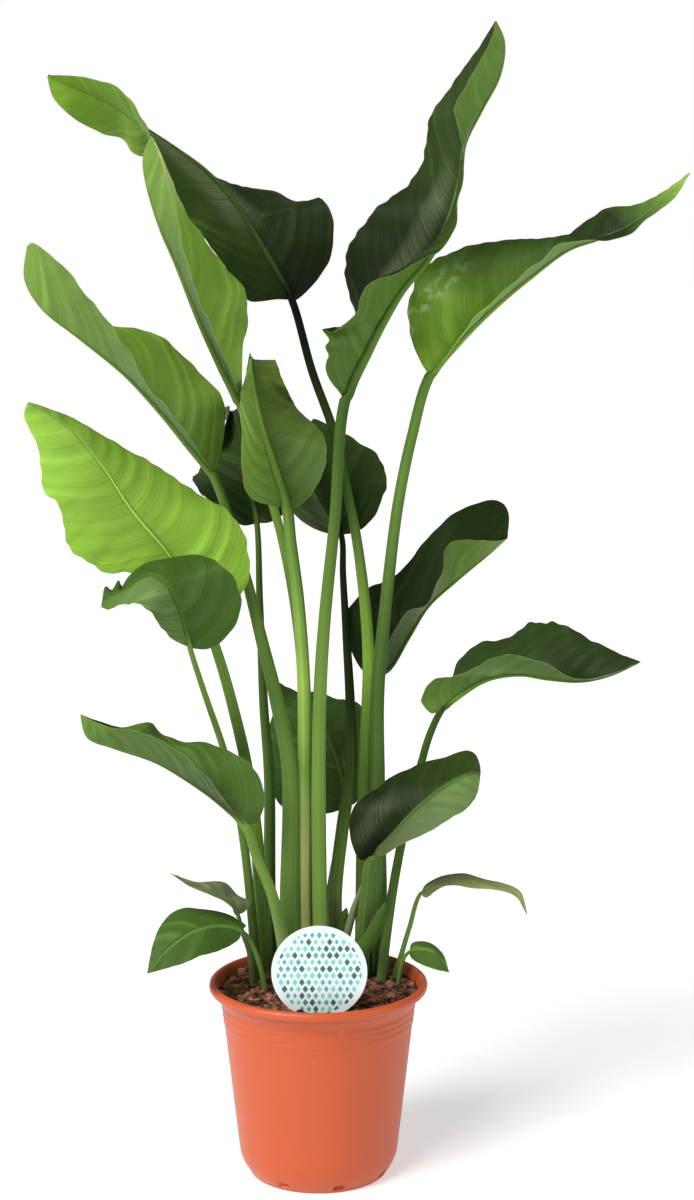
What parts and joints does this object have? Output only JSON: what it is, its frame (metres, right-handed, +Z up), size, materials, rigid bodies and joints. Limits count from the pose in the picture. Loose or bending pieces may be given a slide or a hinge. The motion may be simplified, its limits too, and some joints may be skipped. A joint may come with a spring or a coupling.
{
  "type": "potted plant",
  "caption": "Tall potted foliage plant with long upright stalks carrying large paddle-shaped folded leaves, in a tapered nursery pot with soil and a round plant tag.",
  "frame": {"origin": "centre of the flat underside of the pot", "axes": "+Z up along the plant's height, -Y towards the plant tag, +X to the right of a viewer who faces the tag"},
  "size_m": [0.6754, 0.4246, 1.2377],
  "materials": {
    "pot": "satin terracotta-coloured injection-moulded plastic",
    "soil": "loose dark brown bark and peat potting mix",
    "tag": "smooth white plastic card with a printed dot pattern",
    "leaf_green": "waxy semi-gloss leaf with fine side veins",
    "leaf_dark": "waxy semi-gloss dark leaf with fine side veins",
    "leaf_bright": "waxy semi-gloss young leaf with fine side veins"
  },
  "bodies": {
    "root": {"pot": "pot", "soil": "soil", "plant_tag": "tag", "leaf_high_left": "leaf_dark", "leaf_bright_fold": "leaf_bright", "leaf_left_fold": "leaf_green", "leaf_centre_arch": "leaf_green", "leaf_back_left": "leaf_dark", "leaf_open_left": "leaf_bright", "leaf_small_left": "leaf_green", "leaf_tall_top": "leaf_green", "leaf_high_right": "leaf_bright", "leaf_back_centre": "leaf_dark", "leaf_right_curl": "leaf_dark", "leaf_right_spread": "leaf_green", "leaf_low_right": "leaf_green", "leaf_low_back": "leaf_dark", "leaf_low_left": "leaf_green", "sprout_left_thin": "leaf_green", "sprout_left_broad": "leaf_green", "sprout_right_thin": "leaf_green", "sprout_right_small": "leaf_green"}
  },
  "joints": []
}
